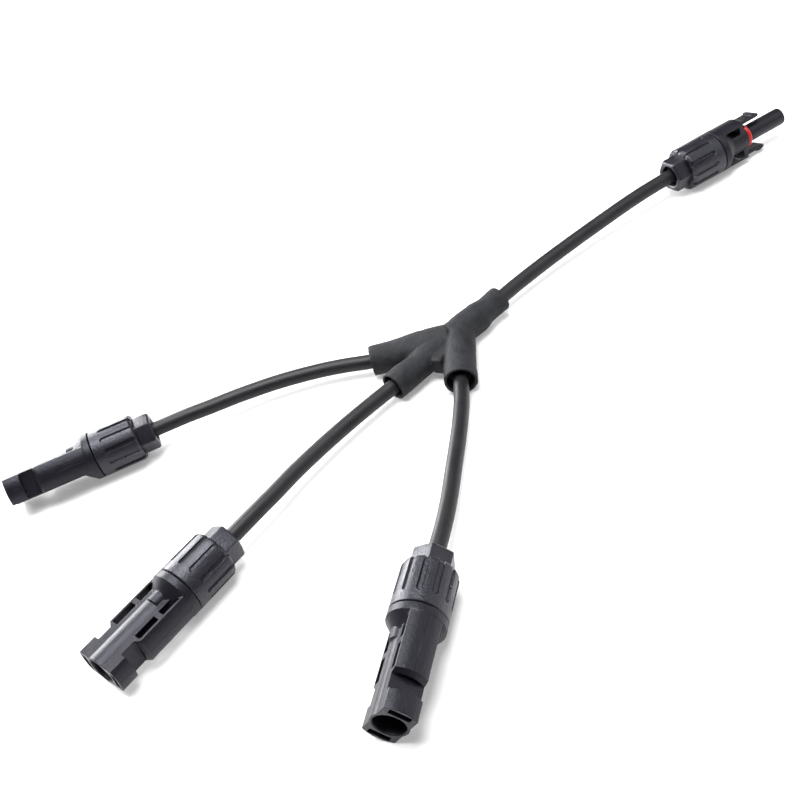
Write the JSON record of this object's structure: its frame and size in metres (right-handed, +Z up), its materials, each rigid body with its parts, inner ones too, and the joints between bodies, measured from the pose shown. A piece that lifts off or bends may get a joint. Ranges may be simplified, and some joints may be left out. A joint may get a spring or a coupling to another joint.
{
  "type": "solar cable connector",
  "caption": "Branch cable for solar panels: a trunk lead with a latching plug, a moulded rubber junction, and branch leads that end in sealed receptacles.",
  "frame": {"origin": "centre of the resting outline, on the surface that the cable lies on, with the free cables left out", "axes": "+X along the trunk towards the latching plug, +Z up"},
  "size_m": [0.3711, 0.216, 0.019],
  "materials": {
    "connector_plastic": "satin charcoal-black polyamide with a fine spark-eroded grain",
    "cage_plastic": "plain moulded clamping cage",
    "cable_jacket": "matt black cross-linked jacket with a soft sheen",
    "boot_rubber": "matt dark grey moulded rubber, slightly uneven",
    "seal_rubber": "soft sealing rubber",
    "red_silicone": "glossy red silicone",
    "tinned_contact": "tin-plated copper alloy",
    "spring_steel": "stamped spring steel",
    "copper": "tinned fine-strand copper"
  },
  "bodies": {
    "harness": {"junction_boot": "boot_rubber", "left_cable": "cable_jacket", "left_clip": "spring_steel", "left_conductor": "copper", "left_housing": "connector_plastic", "left_pin": "tinned_contact", "left_seal": "seal_rubber", "left_splice_strand": "copper", "middle_cable": "cable_jacket", "middle_clip": "spring_steel", "middle_conductor": "copper", "middle_housing": "connector_plastic", "middle_pin": "tinned_contact", "middle_seal": "seal_rubber", "middle_splice_strand": "copper", "plug_clip": "spring_steel", "plug_conductor": "copper", "plug_housing": "connector_plastic", "plug_o_ring": "red_silicone", "plug_seal": "seal_rubber", "plug_socket": "tinned_contact", "plug_splice_strand": "copper", "right_cable": "cable_jacket", "right_clip": "spring_steel", "right_conductor": "copper", "right_housing": "connector_plastic", "right_pin": "tinned_contact", "right_seal": "seal_rubber", "right_splice_strand": "copper", "splice_ferrule": "tinned_contact", "trunk_cable": "cable_jacket"},
    "left_nut_body": {"left_nut": "connector_plastic"},
    "left_cage_body": {"left_collet": "cage_plastic"},
    "middle_nut_body": {"middle_nut": "connector_plastic"},
    "middle_cage_body": {"middle_collet": "cage_plastic"},
    "right_nut_body": {"right_nut": "connector_plastic"},
    "right_cage_body": {"right_collet": "cage_plastic"},
    "plug_nut_body": {"plug_nut": "connector_plastic"},
    "plug_cage_body": {"plug_collet": "cage_plastic"},
    "latch_a_body": {"plug_latch_a": "connector_plastic"},
    "latch_b_body": {"plug_latch_b": "connector_plastic"}
  },
  "joints": [
    {"name": "left_cage_slide", "type": "slide", "parent": "harness", "child": "left_cage_body", "axis": [0.9128, -0.4083, 0], "range_m": [0, 0.007]},
    {"name": "left_nut_turn", "type": "hinge", "parent": "left_cage_body", "child": "left_nut_body", "pos_m": [-0.10792, 0.07495, 0.0095], "axis": [0.9128, -0.4083, 0], "range_deg": [0, 1260]},
    {"name": "middle_cage_slide", "type": "slide", "parent": "harness", "child": "middle_cage_body", "axis": [0.989, 0.1478, 0], "range_m": [0, 0.007]},
    {"name": "middle_nut_turn", "type": "hinge", "parent": "middle_cage_body", "child": "middle_nut_body", "pos_m": [-0.12482, -0.00165, 0.0095], "axis": [0.989, 0.1478, 0], "range_deg": [0, 1260]},
    {"name": "right_cage_slide", "type": "slide", "parent": "harness", "child": "right_cage_body", "axis": [0.8434, 0.5373, 0], "range_m": [0, 0.007]},
    {"name": "right_nut_turn", "type": "hinge", "parent": "right_cage_body", "child": "right_nut_body", "pos_m": [-0.08882, -0.06815, 0.0095], "axis": [0.8434, 0.5373, 0], "range_deg": [0, 1260]},
    {"name": "plug_cage_slide", "type": "slide", "parent": "harness", "child": "plug_cage_body", "axis": [-0.9686, 0.2487, 0], "range_m": [0, 0.007]},
    {"name": "plug_nut_turn", "type": "hinge", "parent": "plug_cage_body", "child": "plug_nut_body", "pos_m": [0.12378, -0.00435, 0.0095], "axis": [-0.9686, 0.2487, 0], "range_deg": [0, 1260]},
    {"name": "latch_a_flex", "type": "hinge", "parent": "harness", "child": "latch_a_body", "pos_m": [0.16199, -0.01275, 0.01652], "axis": [0.2441, 0.9508, -0.1908], "range_deg": [0, 8], "stiffness_Nm_per_rad": 0.35},
    {"name": "latch_b_flex", "type": "hinge", "parent": "harness", "child": "latch_b_body", "pos_m": [0.16131, -0.0154, 0.00248], "axis": [-0.2441, -0.9508, 0.1908], "range_deg": [0, 8], "stiffness_Nm_per_rad": 0.35}
  ],
  "couplings": [
    {"joint": "left_cage_slide", "follows": "left_nut_turn", "m_per_rad": 0.000318},
    {"joint": "middle_cage_slide", "follows": "middle_nut_turn", "m_per_rad": 0.000318},
    {"joint": "right_cage_slide", "follows": "right_nut_turn", "m_per_rad": 0.000318},
    {"joint": "plug_cage_slide", "follows": "plug_nut_turn", "m_per_rad": 0.000318}
  ]
}
